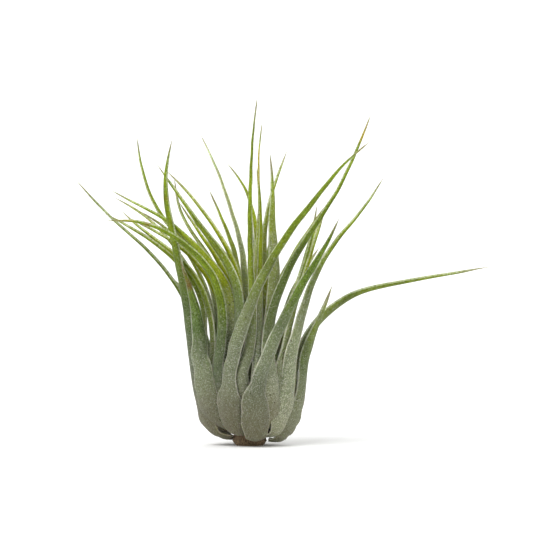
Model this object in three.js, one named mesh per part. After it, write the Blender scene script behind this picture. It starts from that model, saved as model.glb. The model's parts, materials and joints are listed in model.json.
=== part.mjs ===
// An air plant: a small rootless bromeliad, about 10 cm tall, standing on the dry end of its own short stem.
// Fifty narrow channelled leaves grow from the stem in one golden-angle spiral. Each leaf leaves the stem
// as a sheath, runs out and up round the bulb-shaped crown, and goes on as a blade with a fine tip.
// Millimetres, +Z up, -Y towards the viewer. The origin is the middle of the flat spot it stands on.

import * as THREE from "three";

// The spiral that places the leaves. Rank 0 is the oldest and outermost leaf.
const GOLDEN_ANGLE = 137.508;
const CROWN_RADIUS = 16.8;
const CROWN_LEAN = -0.8;

// The neck is where a sheath becomes a blade. Inner leaves have theirs higher up.
const OUTER_NECK_HEIGHT = 20;
const INNER_NECK_HEIGHT = 28;

// The stem, with the leaves' roots climbing it in rank order.
const STEM_FOOT_RADIUS = 4.3;
const STEM_BELLY_RADIUS = 5.3;
const STEM_BELLY_HEIGHT = 1.4;
const STEM_TOP_RADIUS = 1.5;
const STEM_HEIGHT = 16.6;
const FIRST_ROOT_HEIGHT = 1.8;
const ROOT_RISE = 0.275;
const SEAT_GAP = 0.4;

// A sheath dips from its root before it turns up, the outermost one the most. The dip fades over the first
// ranks, so the sheaths' bottoms step up round the crown.
const OUTER_DIP = 4.6;
const INNER_LIFT = 3.5;
const DIP_FADE = 0.45;
const OUTER_FULLNESS = 0.78;
const INNER_FULLNESS = 0.9;

// Blade sections.
const SHEATH_THICKNESS = 0.9;
const BLADE_THICKNESS = 0.95;
const TIP_THICKNESS = 0.6;
const TIP_WIDTH = 0.7;
const SHEATH_SWELL = 1.75;
const ROOT_WIDTH_SHARE = 1.02;
const BLADE_TAPER = 0.84;
const ROOT_SAG = 0.12;
const NECK_SAG = 0.2;
const BLADE_SAG = 0.3;
const BOWL_STEPS = 5;
const BLADE_STEPS = 9;

// Stations crowd into a bend: a radian of it counts as this much more length.
const BEND_WEIGHT = 14;
const SPREAD_SAMPLES = 120;

// The blades in rank order, from the outside in: points that each passes through above its neck, ending
// with its tip, then its width at the neck. `faces` is the compass bearing that its back turns to, where
// that isn't straight outwards, and `nudge` is how many degrees its root is off the spiral.
const BLADES = [
  {
    through: [[16.8, -3.4, 27], [19.6, -7.2, 35.5], [23, -9.6, 43], [24.6, -10.6, 48]],
    width: 4.8,
    faces: -35,
    nudge: -4,
  },
  { through: [[-13, 13, 28], [-16.5, 19, 38], [-20.8, 27, 46], [-25, 34, 50]], width: 4.6 },
  {
    through: [
      [5.8, -18.5, 29], [9.2, -19.8, 36.5], [13.4, -21.5, 44.6],
      [18.5, -23.5, 54.2], [24.2, -25.5, 62.9], [26.3, -26, 68.2],
    ],
    width: 5.1,
    faces: -80,
    nudge: 8,
  },
  { through: [[9.8, 16, 33], [12.9, 22, 44], [17.6, 29, 53], [21, 34, 58]], width: 4.6 },
  {
    through: [
      [-17.5, -3.4, 28], [-19.3, -4, 47], [-22, -4.3, 60.5],
      [-24.7, -4.7, 72.2], [-25.2, -5, 82], [-23.2, -6, 91.4],
    ],
    width: 4.4,
    faces: -140,
    nudge: -3,
  },
  {
    through: [
      [13.6, -10.8, 29], [16.4, -11.5, 41], [19.4, -12.2, 50.6],
      [26, -13.4, 62], [33.2, -14.3, 70.1], [39.5, -15, 80],
    ],
    width: 4.6,
    faces: -60,
  },
  { through: [[-4.5, 18, 30], [-6, 26, 42], [-8.5, 36, 50], [-11, 44, 53]], width: 4.6 },
  {
    through: [
      [-3.1, -15.8, 32.3], [2.6, -17, 48.2], [10.7, -19.5, 62.9],
      [20.3, -21.3, 75.2], [28.4, -22.3, 85.4], [35.1, -23, 91],
    ],
    width: 4.6,
    faces: -95,
    nudge: 3,
  },
  { through: [[13.5, 7, 31], [16, 9, 40], [18.9, 12, 49], [22.5, 15, 57]], width: 4.2 },
  {
    through: [[-15.4, 5.5, 33], [-20.5, 5, 45], [-29.2, 4.5, 57], [-41.8, 4, 68.3], [-51.7, 4, 79]],
    width: 2.9,
  },
  {
    through: [
      [4.8, -13, 32], [8.9, -11.8, 46.7], [16.1, -11, 61],
      [23.9, -10.5, 72.5], [30.2, -10.2, 84.5], [35.9, -11, 98.6],
    ],
    width: 4.1,
    faces: -70,
    nudge: 3,
  },
  { through: [[4, 17, 35], [4.6, 23, 50], [6.6, 31, 60.5], [6.9, 38, 68]], width: 4.2 },
  {
    through: [[-15, -9.2, 28], [-15.6, -9.8, 36.5], [-17.2, -10, 45], [-20.5, -9.5, 55.4]],
    width: 5.4,
    faces: -110,
    nudge: 2,
  },
  {
    through: [
      [15.2, -2, 28.5], [17.9, -1.6, 33.8], [23.6, -1.4, 40.1],
      [32.5, -0.8, 45.8], [48.2, 0, 49.5], [71.2, 0, 53.4],
    ],
    width: 4.6,
    faces: -50,
  },
  { through: [[-9, 13.5, 32], [-11, 18, 45], [-15, 25, 54], [-19, 32, 60]], width: 4.2 },
  {
    through: [
      [0.6, -13, 32], [1, -13.4, 42], [0.3, -12, 54],
      [0.2, -10, 72], [0.8, -8.5, 90.5], [2.3, -9, 104],
    ],
    width: 3.7,
  },
  { through: [[10.6, 11.5, 33], [14.2, 15, 46], [17.8, 20, 57], [21.9, 26, 69.5]], width: 4.0 },
  {
    through: [
      [-13, 0.3, 36], [-16.5, 0, 48.5], [-23.2, -0.3, 56.3],
      [-34, -0.5, 64.5], [-42.7, -0.5, 69.2],
    ],
    width: 3.8,
  },
  {
    through: [[10.8, -9.3, 30], [13.6, -8.8, 42], [17.8, -8.3, 55.5], [20.4, -8, 64], [22.7, -8, 71.6]],
    width: 4.0,
  },
  { through: [[-0.8, 15, 36], [-1.5, 22, 50], [-2.6, 31, 59], [-3.8, 39, 64]], width: 4.0 },
  {
    through: [
      [-8.4, -10.6, 34], [-8.6, -12, 44], [-12.1, -12.8, 53],
      [-20.5, -12.8, 61.4], [-31.9, -12, 67.6], [-41.8, -11, 67.7],
    ],
    width: 4.4,
    faces: -120,
    nudge: -5,
  },
  { through: [[13, 2.3, 31], [16, 4.5, 41], [19.3, 7, 50.5], [26.4, 9, 62.5]], width: 3.8 },
  {
    through: [[-10.6, 8, 33], [-13.5, 9, 44], [-23.8, 9, 61], [-32.2, 8.3, 69.5], [-40.3, 7, 74]],
    width: 3.6,
  },
  {
    through: [[2.6, -11, 34], [3.3, -7.5, 57], [3.3, -5, 73.1], [2.6, -3.5, 87.5], [3.8, -3, 96.5]],
    width: 2.8,
  },
  { through: [[5.5, 13, 38], [8.8, 17.5, 47], [15.8, 23, 60.5], [23, 29, 71]], width: 3.8 },
  {
    through: [[-10.8, -3, 33], [-15, -2, 49], [-23.5, -1, 58.7], [-31.9, 0.2, 64.4], [-38.2, 1, 70.1]],
    width: 3.6,
  },
  { through: [[11.2, -4.8, 32], [14.7, -3.5, 48.3], [18.5, -2.5, 62], [20.2, -2, 71.9]], width: 3.6 },
  { through: [[-3.5, 12.5, 42], [-4.2, 15, 56], [-8.5, 18, 67.4], [-12.1, 20, 75.8]], width: 3.4 },
  {
    through: [
      [-2.4, -10.4, 43], [-5.5, -9.8, 54.2], [-13.3, -7.5, 64.4],
      [-22, -4, 76.7], [-27.4, -1.5, 83.9],
    ],
    width: 4.8,
    faces: -115,
  },
  { through: [[10.4, 6.5, 35], [14.8, 9, 49], [17.4, 11, 58.5], [19.6, 13, 67]], width: 3.4 },
  { through: [[-10.6, 3.3, 38], [-16.5, 4, 54], [-24.8, 4.5, 65.1], [-32.4, 5, 69.8]], width: 3.4 },
  {
    through: [[6.4, -8.6, 41], [7.8, -6.8, 51], [6.7, -4.5, 64], [7.1, -3, 77.6], [6.2, -2.5, 87.2]],
    width: 3.6,
  },
  { through: [[1.6, 11, 38], [1.4, 16, 52], [0.4, 21.5, 64], [0.2, 27, 74]], width: 3.4 },
  {
    through: [
      [-5.4, -8, 43], [-8.5, -7.3, 50.6], [-15.1, -5.5, 58.4],
      [-25.6, -1.5, 68.3], [-34.9, 1.5, 72.6], [-40.9, 3, 76.1],
    ],
    width: 4.2,
    faces: -120,
  },
  { through: [[9.9, -0.2, 38], [14, 1, 48], [17, 2.2, 57], [18.8, 3, 63]], width: 3.2 },
  {
    through: [
      [-8, 8, 44], [-14, 10, 55], [-25, 12, 66],
      [-28, 12.3, 70.7], [-32.5, 12.3, 82.1], [-33.9, 12, 91.7],
    ],
    width: 3.2,
  },
  { through: [[1.4, -7.6, 44], [2.2, -4.4, 58], [2.6, -1.4, 66], [2.8, 0.4, 72.3]], width: 3.2 },
  { through: [[6.4, 8.8, 38], [10.3, 12, 50], [15.4, 15.5, 60], [19.8, 18.3, 67]], width: 3.2 },
  { through: [[-8.5, -0.3, 41], [-15.2, 1, 54], [-24.5, 2, 62], [-36, 4, 68]], width: 3.0 },
  {
    through: [[5, -4.6, 42], [4.4, -1.8, 58], [5, 0.5, 68.3], [7.4, 3.5, 77.6], [11.1, 6.5, 87.8]],
    width: 3.2,
  },
  {
    through: [[0, 8.5, 42], [2.2, 11, 60], [0.6, 13, 71], [-2.5, 14.8, 79.5], [-6.4, 16, 83.9]],
    width: 3.0,
  },
  { through: [[-4.5, -5.7, 44], [-10.7, -4, 57.8], [-16, -2, 65], [-20.8, 0, 72.5]], width: 3.0 },
  {
    through: [[5.8, 2.4, 42], [6.5, 3.6, 53], [11.2, 5.5, 63.5], [16.6, 7, 70.7], [20.6, 7.8, 75.4]],
    width: 3.0,
  },
  {
    through: [[-6.4, 3, 42], [-13.5, 5, 59], [-19.3, 6.5, 66], [-21.8, 7.5, 73], [-22.6, 8, 79.7]],
    width: 3.0,
  },
  { through: [[1.6, -3.6, 44], [0.2, -3, 60], [0.2, -2.6, 74], [0.5, -2.4, 84]], width: 2.8 },
  { through: [[2.5, 5, 44], [3.2, 7, 60], [3, 9.5, 73], [2.2, 12, 83]], width: 2.8 },
  {
    through: [[-2.6, -2, 47], [-7.6, -1, 60.8], [-14.5, 0.3, 70.7], [-20.5, 1.8, 78.5], [-24.7, 2.5, 82.1]],
    width: 3.4,
    faces: -150,
  },
  { through: [[3.6, -1, 44], [5.8, 0, 55], [11.3, 1, 64], [17, 2, 71.2]], width: 2.8 },
  {
    through: [[-1.5, 3, 46], [-2.6, 4.2, 60], [-6.7, 6, 73.4], [-9.7, 7, 82.5], [-14.5, 8, 92.6]],
    width: 2.8,
  },
  { through: [[-2.4, 0.6, 46], [-7.6, 2.6, 58], [-13.5, 4, 63.8], [-18.3, 5, 68]], width: 2.4 },
];

const RANKS = BLADES.length;
const UP = new THREE.Vector3(0, 0, 1);

const mix = THREE.MathUtils.lerp;
const smooth = (x) => THREE.MathUtils.smoothstep(x, 0, 1);

// The unit vector towards a compass bearing: 0 is +X, and -90 is towards the viewer.
function towards(bearing) {
  const angle = THREE.MathUtils.degToRad(bearing);
  return new THREE.Vector3(Math.cos(angle), Math.sin(angle), 0);
}

function stemRadius(height) {
  const climb = (height - STEM_BELLY_HEIGHT) / (STEM_HEIGHT - STEM_BELLY_HEIGHT);
  return mix(STEM_BELLY_RADIUS, STEM_TOP_RADIUS, Math.max(0, climb));
}

// Where leaf `rank` leaves the stem and where it passes the neck.
function placeOf(rank) {
  const inwards = rank / (RANKS - 1);
  const rootHeight = FIRST_ROOT_HEIGHT + ROOT_RISE * rank;
  return {
    inwards,
    bearing: GOLDEN_ANGLE * rank + (BLADES[rank].nudge ?? 0),
    rootHeight,
    rootRadius: stemRadius(rootHeight),
    neckRadius: CROWN_RADIUS * Math.sqrt(1 - (rank + 0.5) / RANKS),
    neckHeight: mix(OUTER_NECK_HEIGHT, INNER_NECK_HEIGHT, inwards),
    lean: CROWN_LEAN * (1 - inwards),
  };
}

// The sheath's middle line, from the stem to the neck.
function bowlOf(place) {
  const out = towards(place.bearing);
  const at = (radius, height) => out.clone().multiplyScalar(radius).setZ(height);
  const fullness = mix(OUTER_FULLNESS, INNER_FULLNESS, Math.sqrt(place.inwards));
  const turn = mix(place.rootRadius, place.neckRadius, fullness);
  const rise = mix(-OUTER_DIP, INNER_LIFT, place.inwards ** DIP_FADE);
  const slope = Math.abs(rise) / Math.hypot(turn - place.rootRadius, rise);
  const start = place.rootRadius + SEAT_GAP + 0.5 * SHEATH_THICKNESS * slope;
  return new THREE.QuadraticBezierCurve3(
    at(start, place.rootHeight),
    at(turn, place.rootHeight + rise),
    at(place.neckRadius, place.neckHeight).setX(out.x * place.neckRadius + place.lean),
  );
}

// The stations along a leaf, from its root to its tip, with the length run to each and to the neck.
function stationsOf(place, blade) {
  const bowl = bowlOf(place);
  const sheath = bowl.getSpacedPoints(BOWL_STEPS);
  const sweep = new THREE.CatmullRomCurve3(
    [...sheath, ...blade.through.map((p) => new THREE.Vector3(...p))],
    false,
    "centripetal",
  );
  sweep.arcLengthDivisions = 400;
  const total = sweep.getLength();
  const neckRun = bowl.getLength();
  const wanted = [
    ...spreadStations(sweep, 0, neckRun / total, BOWL_STEPS),
    ...spreadStations(sweep, neckRun / total, 1, BLADE_STEPS).slice(1),
  ];
  return wanted.map((share) => ({
    point: sweep.getPointAt(share),
    tangent: sweep.getTangentAt(share),
    distance: share * total,
    neckRun,
    total,
  }));
}

// Shares of a sweep's length between two shares, closer together where the leaf bends.
function spreadStations(sweep, from, to, steps) {
  const length = sweep.getLength();
  const shares = Array.from({ length: SPREAD_SAMPLES + 1 }, (_, i) => mix(from, to, i / SPREAD_SAMPLES));
  const run = [0];
  for (let i = 1; i <= SPREAD_SAMPLES; i++) {
    const bend = sweep.getTangentAt(shares[i]).angleTo(sweep.getTangentAt(shares[i - 1]));
    run.push(run[i - 1] + (shares[i] - shares[i - 1]) * length + BEND_WEIGHT * bend);
  }
  return Array.from({ length: steps + 1 }, (_, step) => {
    const goal = (run.at(-1) * step) / steps;
    const i = Math.max(1, run.findIndex((distance) => distance >= goal - 1e-9));
    return mix(shares[i - 1], shares[i], (goal - run[i - 1]) / (run[i] - run[i - 1]));
  });
}

// Width, thickness and channel depth of a leaf at one station.
function sectionSizes(place, blade, station) {
  const rootWidth = Math.min(blade.width, place.rootRadius * ROOT_WIDTH_SHARE);
  if (station.distance <= station.neckRun) {
    const climb = station.distance / station.neckRun;
    const swell = 1 + (SHEATH_SWELL - 1) * Math.sin(Math.PI * Math.min(1, climb * 1.05)) ** 2;
    const width = mix(rootWidth, blade.width, smooth(climb)) * swell;
    return { width, thickness: SHEATH_THICKNESS, sag: width * mix(ROOT_SAG, NECK_SAG, climb) };
  }
  const climb = (station.distance - station.neckRun) / (station.total - station.neckRun);
  const width = mix(blade.width * (1 - BLADE_TAPER * climb), TIP_WIDTH, smooth((climb - 0.8) / 0.2));
  const thickness = mix(BLADE_THICKNESS, TIP_THICKNESS, climb);
  const sag = width * mix(NECK_SAG, BLADE_SAG, smooth(climb * 3));
  return { width, thickness, sag };
}

// One closed crescent of eight points: the back from margin to margin, then the channel's floor back again.
const BACK_ACROSS = [-1, -0.5, 0, 0.5, 1];
const FLOOR_ACROSS = [0.5, 0, -0.5];

function crescent(centre, side, inner, { width, thickness, sag }) {
  const corner = (across, lift) =>
    centre
      .clone()
      .addScaledVector(side, (across * width) / 2)
      .addScaledVector(inner, lift + sag / 2 - thickness / 2);
  const depth = (across) => -sag * (1 - across * across);
  const margin = (across) => (Math.abs(across) === 1 ? thickness / 2 : 0);
  return [
    ...BACK_ACROSS.map((across) => corner(across, depth(across) + margin(across))),
    ...FLOOR_ACROSS.map((across) => corner(across, depth(across) + thickness)),
  ];
}

function leafGeometry(rank) {
  const place = placeOf(rank);
  const blade = BLADES[rank];
  const stations = stationsOf(place, blade);
  const faces = blade.faces ?? place.bearing;
  const turn = THREE.MathUtils.euclideanModulo(faces - place.bearing + 180, 360) - 180;
  const rings = stations.map((station) => {
    const above = (station.distance - station.neckRun) / (0.4 * (station.total - station.neckRun));
    const back = towards(place.bearing + turn * smooth(above));
    const side = new THREE.Vector3().crossVectors(UP, back);
    side.addScaledVector(station.tangent, -side.dot(station.tangent)).normalize();
    const inner = new THREE.Vector3().crossVectors(side, station.tangent).negate();
    return crescent(station.point, side, inner, sectionSizes(place, blade, station));
  });
  const first = stations[0];
  const last = stations.at(-1);
  const root = first.point.clone();
  const tip = last.point.clone().addScaledVector(last.tangent, TIP_THICKNESS);
  return closeRings(rings, root, tip);
}

// Joins rings of corners into one closed skin, with a fan over each end.
function closeRings(rings, root, tip) {
  const sides = rings[0].length;
  const corners = [root, ...rings.flat(), tip];
  const number = (ring, corner) => 1 + ring * sides + (corner % sides);
  const faces = [];
  for (let i = 0; i < sides; i++) {
    faces.push(0, number(0, i + 1), number(0, i));
    for (let ring = 0; ring + 1 < rings.length; ring++) {
      faces.push(number(ring, i), number(ring, i + 1), number(ring + 1, i + 1));
      faces.push(number(ring, i), number(ring + 1, i + 1), number(ring + 1, i));
    }
    faces.push(corners.length - 1, number(rings.length - 1, i), number(rings.length - 1, i + 1));
  }
  const geometry = new THREE.BufferGeometry().setFromPoints(corners);
  geometry.setIndex(faces);
  return geometry;
}

function stemGeometry() {
  const profile = [
    [0, 0],
    [STEM_FOOT_RADIUS, 0],
    [STEM_BELLY_RADIUS, STEM_BELLY_HEIGHT],
    [STEM_TOP_RADIUS, STEM_HEIGHT],
    [0, STEM_HEIGHT + 0.8],
  ].map(([radius, height]) => new THREE.Vector2(radius, height));
  return new THREE.LatheGeometry(profile, 24).rotateX(Math.PI / 2);
}

// Older leaves are grey with scales, and the youngest are the brightest green.
const LEAF_COLOURS = [
  { from: 0, colour: 0x8e9a84, roughness: 0.85 },
  { from: 14, colour: 0x8a9a62, roughness: 0.75 },
  { from: 33, colour: 0x9dab45, roughness: 0.65 },
];
const STEM_COLOUR = 0x6b4f35;

function addPiece(group, name, geometry, colour, roughness) {
  const material = new THREE.MeshStandardMaterial({ color: colour, roughness, metalness: 0 });
  const piece = new THREE.Mesh(geometry, material);
  piece.name = name;
  group.add(piece);
}

const plant = new THREE.Group();
plant.name = "air_plant";
addPiece(plant, "stem", stemGeometry(), STEM_COLOUR, 0.9);
for (let rank = 0; rank < RANKS; rank++) {
  const { colour, roughness } = LEAF_COLOURS.findLast((band) => rank >= band.from);
  addPiece(plant, `leaf_${String(rank + 1).padStart(2, "0")}`, leafGeometry(rank), colour, roughness);
}

export default plant;
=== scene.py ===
# An air plant standing on the dry end of its own stem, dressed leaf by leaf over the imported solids.
import bisect
import json
import math
import random

import bpy
import numpy
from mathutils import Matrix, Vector


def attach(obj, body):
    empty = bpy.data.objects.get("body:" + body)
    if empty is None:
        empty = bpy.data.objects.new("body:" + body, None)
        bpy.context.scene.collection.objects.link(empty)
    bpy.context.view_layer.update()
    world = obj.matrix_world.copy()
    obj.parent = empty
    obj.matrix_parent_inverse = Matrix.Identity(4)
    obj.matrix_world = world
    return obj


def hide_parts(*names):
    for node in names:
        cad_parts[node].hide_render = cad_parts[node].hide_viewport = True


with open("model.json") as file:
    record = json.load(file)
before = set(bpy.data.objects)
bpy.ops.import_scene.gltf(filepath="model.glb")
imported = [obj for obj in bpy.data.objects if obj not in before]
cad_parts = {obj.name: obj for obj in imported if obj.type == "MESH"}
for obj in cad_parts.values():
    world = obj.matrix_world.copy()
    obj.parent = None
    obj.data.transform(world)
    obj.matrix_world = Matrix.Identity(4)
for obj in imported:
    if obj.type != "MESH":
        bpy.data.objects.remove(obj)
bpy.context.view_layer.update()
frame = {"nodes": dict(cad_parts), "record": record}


# ---- Stem --------------------------------------------------------------------------------------------------
# A short dry woody stem, hidden by the leaves but for the trimmed end that the plant stands on. It is ringed
# by the scars of old leaves and ridged lengthwise by its fibres, and every leaf grows from its side.
MM = 0.001
# Heights and radii from the trimmed end up. The stem's sizes are all in millimetres.
STEM_PROFILE = (
    (0.0, 4.25),
    (0.12, 4.30),
    (0.7, 4.85),
    (1.4, 5.25),
    (2.4, 5.0),
    (6.0, 4.1),
    (11.0, 2.8),
    (16.4, 1.5),
)
STEM_SIDES = 96
STEM_RINGS = 60
FOOT_CROWDING = 1.5
# The point on top, how far the bark lies under the solid's skin, and how high the end is trimmed smooth.
POINT_ABOVE = 0.6
BARK_SUNK = 0.12
TRIMMED_TO = 0.3
# The fibres: waves round the stem, which twist as they climb.
FIBRE_WAVES = 7
FIBRES_ROUND = (9, 40)
FIBRE_SHARES = (0.4, 1.0)
CREST_OF_WAVES = 4
FIBRE_TWIST = 0.25
FIBRE_DEPTH = 0.11
# The rings of old leaf scars.
SCAR_RING_GAP = 0.95
SCAR_RING_WAVE = 0.5
RING_DEPTH = 0.10
STEM_SEED = 77
FULL_TURN = 6.3


def ease(low, high, value):
    """0 below low and 1 above high, with a smooth rise between them."""
    t = min(max((value - low) / (high - low), 0), 1)
    return t * t * (3 - 2 * t)


def stem_radius(height):
    """The profile's radius at a height, both in millimetres."""
    k = max(i for i in range(len(STEM_PROFILE) - 1) if STEM_PROFILE[i][0] <= height)
    (low, narrow), (high, wide) = STEM_PROFILE[k : k + 2]
    return narrow + (wide - narrow) * min((height - low) / (high - low), 1)


def new_piece(name, points, faces, smooth=True):
    """A mesh object from its corners and faces, shaded smooth or flat."""
    mesh = bpy.data.meshes.new(name)
    mesh.from_pydata(points, [], faces)
    mesh.update()
    if smooth:
        mesh.polygons.foreach_set("use_smooth", [True] * len(mesh.polygons))
    piece = bpy.data.objects.new(name, mesh)
    bpy.context.scene.collection.objects.link(piece)
    return piece


# Each wave of the fibres: how many go round the stem, where in about a full turn it starts, in radians, and
# its share of the depth. Together the waves add up to about CREST_OF_WAVES.
dice = random.Random(STEM_SEED)
fibres = [
    (dice.randint(*FIBRES_ROUND), dice.uniform(0, FULL_TURN), dice.uniform(*FIBRE_SHARES))
    for _ in range(FIBRE_WAVES)
]
points = [Vector((0, 0, 0))]
top = STEM_PROFILE[-1][0]
for k in range(STEM_RINGS + 1):
    height = top * (k / STEM_RINGS) ** FOOT_CROWDING
    for i in range(STEM_SIDES):
        angle = 2 * math.pi * i / STEM_SIDES
        twist = FIBRE_TWIST * height
        ridge = sum(share * math.sin(many * angle + start + twist) for many, start, share in fibres)
        ridge /= CREST_OF_WAVES
        scar_ring = abs(math.sin(math.pi * height / SCAR_RING_GAP + SCAR_RING_WAVE * math.sin(angle)))
        radius = stem_radius(height) - BARK_SUNK
        radius += FIBRE_DEPTH * ridge * ease(0, TRIMMED_TO, height) - RING_DEPTH * (1 - scar_ring)
        points.append(Vector((radius * math.cos(angle), radius * math.sin(angle), height)) * MM)
points.append(Vector((0, 0, top + POINT_ABOVE)) * MM)
faces = []
for i in range(STEM_SIDES):
    j = (i + 1) % STEM_SIDES
    faces.append((0, 1 + j, 1 + i))
    for k in range(STEM_RINGS):
        low, high = 1 + k * STEM_SIDES, 1 + (k + 1) * STEM_SIDES
        faces.append((low + i, low + j, high + j, high + i))
    faces.append((len(points) - 1, 1 + STEM_RINGS * STEM_SIDES + i, 1 + STEM_RINGS * STEM_SIDES + j))


def shader(name, roughness):
    """A new material with its node tree and its surface shader."""
    material = bpy.data.materials.new(name)
    material.use_nodes = True
    surface = material.node_tree.nodes["Principled BSDF"]
    surface.inputs["Roughness"].default_value = roughness
    return material, material.node_tree, surface


class Graph:
    """Short calls that add nodes to one material and join them."""

    def __init__(self, tree):
        self.tree = tree

    def add(self, kind, **sets):
        node = self.tree.nodes.new(kind)
        for key, value in sets.items():
            setattr(node, key, value)
        return node

    def put(self, socket, value):
        """Join another node's output to a socket, or set the socket's own value."""
        if isinstance(value, bpy.types.NodeSocket):
            self.tree.links.new(value, socket)
        else:
            socket.default_value = value

    def math(self, operation, a, b=0.0):
        node = self.add("ShaderNodeMath", operation=operation)
        self.put(node.inputs[0], a)
        self.put(node.inputs[1], b)
        return node.outputs[0]

    def times(self, a, b):
        return self.math("MULTIPLY", a, b)

    def plus(self, a, b):
        return self.math("ADD", a, b)

    def blend(self, share, a, b):
        """Colour a where share is 0 and colour b where it is 1."""
        node = self.add("ShaderNodeMix", data_type="RGBA")
        self.put(node.inputs[0], share)
        self.put(node.inputs[6], a)
        self.put(node.inputs[7], b)
        return node.outputs[2]

    def ramp(self, value, low, high, to_low=0.0, to_high=1.0):
        """to_low where value is low and to_high where it is high, eased between and held past them."""
        node = self.add("ShaderNodeMapRange", interpolation_type="SMOOTHSTEP")
        for socket, entry in zip(node.inputs, (value, low, high, to_low, to_high)):
            self.put(socket, entry)
        return node.outputs[0]

    def leaf_value(self, name):
        return self.add("ShaderNodeAttribute", attribute_name=name).outputs["Fac"]

    def noise(self, vector, scale, detail=2.0, rough=0.5):
        node = self.add("ShaderNodeTexNoise")
        self.put(node.inputs["Vector"], vector)
        node.inputs["Scale"].default_value = scale
        node.inputs["Detail"].default_value = detail
        node.inputs["Roughness"].default_value = rough
        return node.outputs["Fac"]

    def cells(self, vector, scale):
        node = self.add("ShaderNodeTexVoronoi")
        self.put(node.inputs["Vector"], vector)
        node.inputs["Scale"].default_value = scale
        return node

    def bump(self, height, strength, distance, below=None):
        node = self.add("ShaderNodeBump")
        node.inputs["Strength"].default_value = strength
        node.inputs["Distance"].default_value = distance
        self.put(node.inputs["Height"], height)
        if below is not None:
            self.put(node.inputs["Normal"], below)
        return node.outputs[0]


def srgb(r, g, b):
    """A colour as seen, 0 to 255, turned into the light it stands for."""
    light = [((c / 255 + 0.055) / 1.055) ** 2.4 if c > 10 else c / 255 / 12.92 for c in (r, g, b)]
    return (*light, 1.0)


BARK_DARK = srgb(66, 50, 34)
BARK_PALE = srgb(150, 126, 94)
BARK_STAIN = srgb(98, 84, 60)
STRANDS_PER_METRE = 2600.0
STAINS_PER_METRE = 420.0
STRANDS_DRAWN_OUT = (1, 1, 0.18)
stem = new_piece("stem_bark", points, faces)
material, tree, surface = shader("stem_bark", 0.88)
g = Graph(tree)
place = g.add("ShaderNodeTexCoord").outputs["Object"]
stretched = g.add("ShaderNodeMapping")
g.put(stretched.inputs["Vector"], place)
stretched.inputs["Scale"].default_value = STRANDS_DRAWN_OUT
strands = g.noise(stretched.outputs[0], STRANDS_PER_METRE, 4.0, 0.7)
stains = g.noise(place, STAINS_PER_METRE, 3.0)
bark = g.blend(g.ramp(strands, 0.3, 0.7), BARK_DARK, BARK_PALE)
bark = g.blend(g.ramp(stains, 0.45, 0.75, 0.0, 0.6), bark, BARK_STAIN)
g.put(surface.inputs["Base Color"], bark)
g.put(surface.inputs["Roughness"], g.ramp(strands, 0.3, 0.7, 0.95, 0.75))
g.put(surface.inputs["Normal"], g.bump(strands, 0.9, 0.0002))
stem.data.materials.append(material)
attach(stem, "root")
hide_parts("stem")


# ---- Leaves ------------------------------------------------------------------------------------------------
# Fifty living leaves, each one piece: a flat sheath that clasps the crown and a channelled blade that narrows
# to a dry needle. Silvery water-drinking scales lie thick on the old outer sheaths and thin out along the
# blades, so that the sheaths look grey and the young inner leaves a bright yellow-green.

# A leaf's run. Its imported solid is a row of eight-cornered rings between a root point and a tip point. The
# rings give the leaf's run, its width and the depth of its channel, and the finer leaf is grown along them.
leaf_names = sorted(name for name in frame["nodes"] if name.startswith("leaf_"))
ranks = len(leaf_names)
LOOK_ALONG = 0.2 * MM
THREAD_WIDTH = 0.34 * MM
THREAD_THICK = 0.26 * MM
RING_CORNERS = 8
STEM_REACH = 20 * MM
MARGIN_STEP = 4
NECK_RING = 5


def layers_from(start, next_to):
    """The corners one step from start, two steps from it and so on."""
    layers = [{start}]
    seen = {start}
    while layers[-1]:
        layers.append(set().union(*(next_to[i] for i in layers[-1])) - seen)
        seen |= layers[-1]
    return layers[:-1]


def follow_loop(layer, next_to):
    """The corners of one layer in the order that they join."""
    loop = [min(layer)]
    while True:
        step = [i for i in sorted(next_to[loop[-1]] & layer) if i not in loop]
        if not step:
            return loop
        loop.append(step[0])


def read_rings(name):
    """The solid's rings of corners from the root up, in step with each other, and its tip point."""
    mesh = frame["nodes"][name].data
    spots = {}
    number = []
    points = []
    for vertex in mesh.vertices:
        key = tuple(round(c * 1e6) for c in vertex.co)
        if key not in spots:
            spots[key] = len(points)
            points.append(vertex.co.copy())
        number.append(spots[key])
    next_to = [set() for _ in points]
    for edge in mesh.edges:
        a, b = number[edge.vertices[0]], number[edge.vertices[1]]
        if a != b:
            next_to[a].add(b)
            next_to[b].add(a)
    fans = [i for i in range(len(points)) if len(next_to[i]) == RING_CORNERS]
    root = min(fans, key=lambda i: math.hypot(points[i].x, points[i].y) + points[i].z)
    layers = layers_from(root, next_to)[1:]
    rings = []
    while layers:
        loop = follow_loop(layers[0], next_to)
        if len(loop) != RING_CORNERS or len(layers[0]) != RING_CORNERS:
            break
        rings.append([points[i] for i in loop])
        layers.pop(0)
    end = centre_of([points[i] for i in layers[-1]])
    if points[root].z > STEM_REACH:
        rings.reverse()
        tip = points[root]
        rings.insert(0, [corner + end - centre_of(rings[0]) for corner in rings[0]])
    else:
        tip = end
    for k in range(1, len(rings)):
        turned = [rings[k][s:] + rings[k][:s] for s in range(RING_CORNERS)]
        turned += [list(reversed(t)) for t in turned]
        below = rings[k - 1]
        shift = centre_of(rings[k]) - centre_of(below)
        misfits = [sum((a - b - shift).length_squared for a, b in zip(ring, below)) for ring in turned]
        rings[k] = turned[misfits.index(min(misfits))]
    return rings, tip


def centre_of(points):
    """The mean of some points."""
    return sum(points, Vector()) / len(points)


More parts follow.
